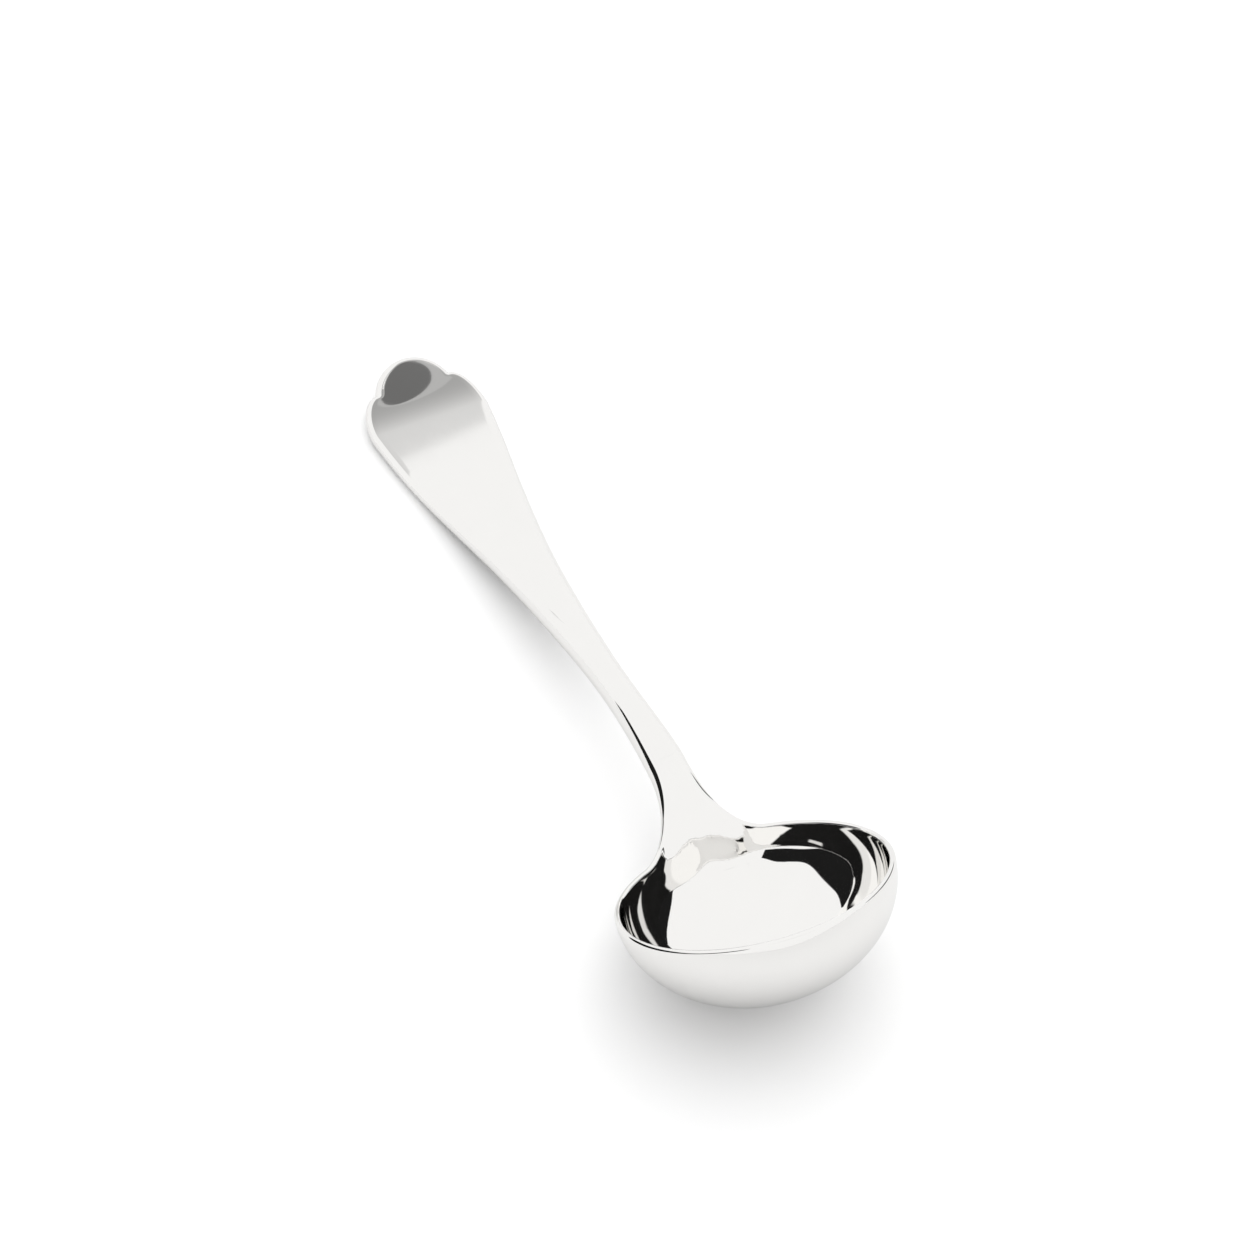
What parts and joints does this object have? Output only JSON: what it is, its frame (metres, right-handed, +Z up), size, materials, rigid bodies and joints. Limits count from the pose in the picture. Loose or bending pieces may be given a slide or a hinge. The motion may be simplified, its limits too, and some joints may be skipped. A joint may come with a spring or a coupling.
{
  "type": "sauce ladle",
  "caption": "Polished silver sauce ladle: a round hemispherical bowl with a drawn neck, hard-soldered to an arched stem that widens into a flat blade with a notched, turned-up end.",
  "frame": {"origin": "middle of the small flat under the bowl, on the table the ladle lies on", "axes": "+Z up from the table, +Y along the handle from the bowl to the blade, +X to the right looking from the bowl to the handle"},
  "size_m": [0.052, 0.1888, 0.0362],
  "materials": {
    "bowl_silver": "hand-polished sterling silver, mirror bright, raised sheet with fine wiping scratches",
    "silver_solder": "hard silver solder, filed flush and polished with the parts",
    "handle_silver": "forged sterling silver, polished mirror bright, fine wiping scratches along its length"
  },
  "bodies": {
    "root": {"bowl": "bowl_silver", "solder_seam": "silver_solder", "handle": "handle_silver"}
  },
  "joints": []
}
